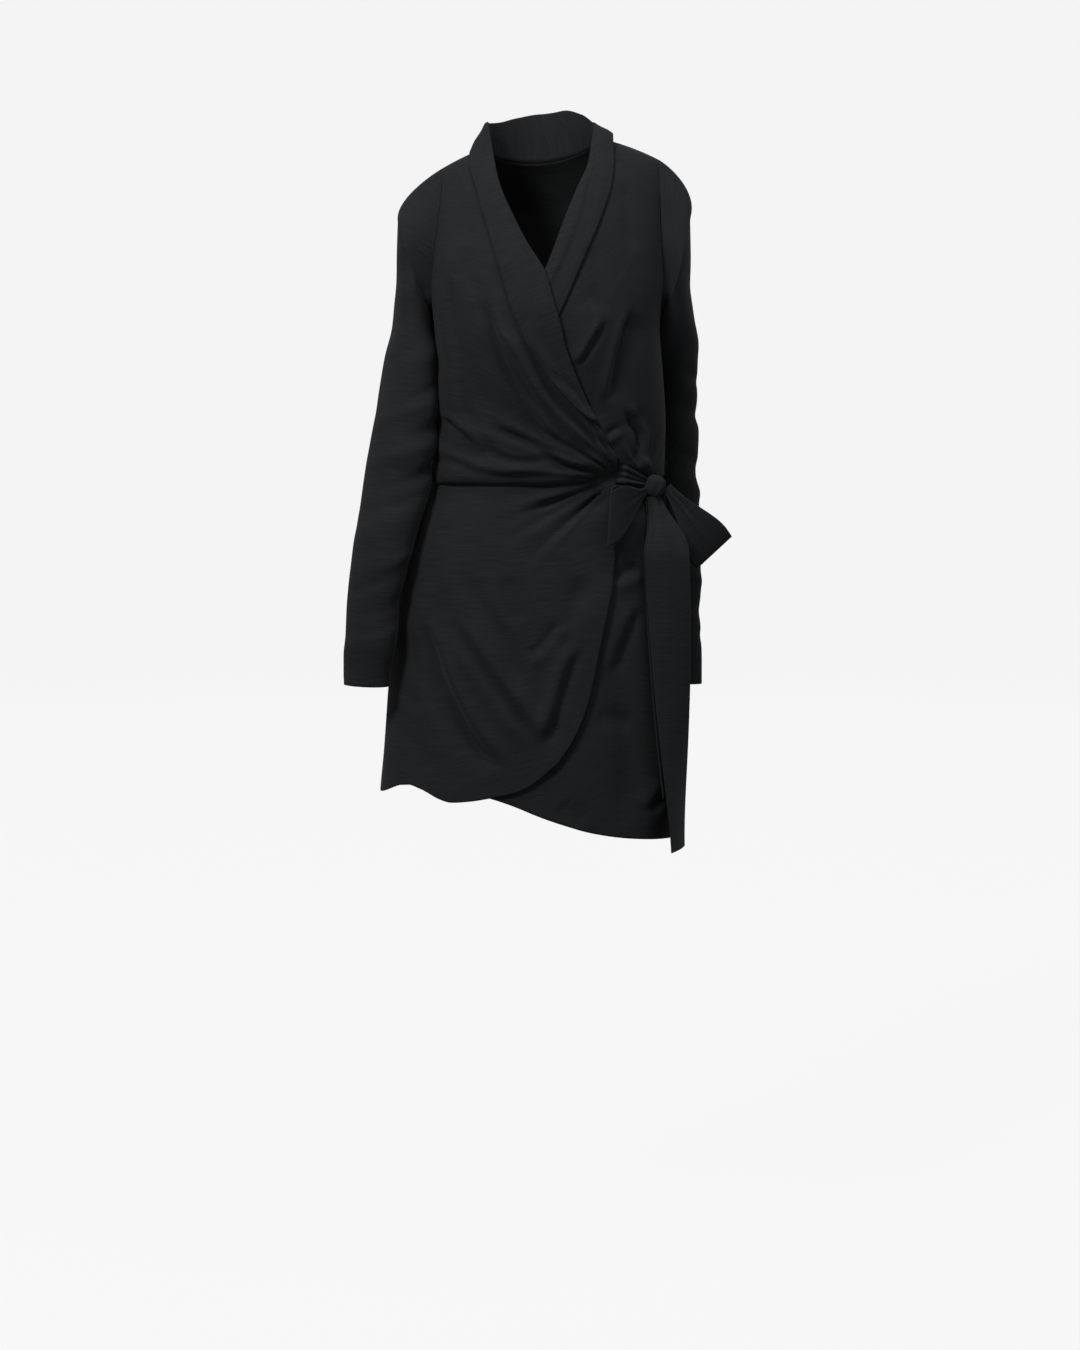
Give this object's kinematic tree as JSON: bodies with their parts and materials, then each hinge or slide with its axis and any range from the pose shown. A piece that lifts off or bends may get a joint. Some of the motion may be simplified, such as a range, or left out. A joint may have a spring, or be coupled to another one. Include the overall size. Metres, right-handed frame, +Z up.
{
  "type": "wrap_dress",
  "caption": "Short black wrap dress in its worn, hollow form, with a shawl collar, long sleeves and a sash tied in a bow at the side of the waist.",
  "frame": {"origin": "between the shoulder seams at the base of the neck, where the dress hangs from the shoulders", "axes": "+X to the wearer's left, -Y to the front, +Z up"},
  "size_m": [0.4897, 0.2699, 0.9259],
  "materials": {
    "crepe": "matt black fine knit with faint crosswise slubs",
    "crepe_under": "matt black fine knit, the underlap and back",
    "sash": "matt black fine knit, pressed and folded",
    "thread": "matt black twisted thread"
  },
  "bodies": {
    "root": {"bodice_front_right": "crepe", "bodice_front_left": "crepe_under", "bodice_back": "crepe_under", "collar": "crepe", "sleeve_right": "crepe", "sleeve_left": "crepe", "skirt_front_right": "crepe", "skirt_front_left": "crepe_under", "skirt_back": "crepe_under", "sash_strap": "sash", "sash_back": "sash", "belt_loop_right": "thread", "belt_loop_left": "thread", "sash_knot": "sash", "bow_loop_front": "sash", "bow_loop_side": "sash", "sash_tail": "sash", "sash_tail_under": "sash"}
  },
  "joints": []
}
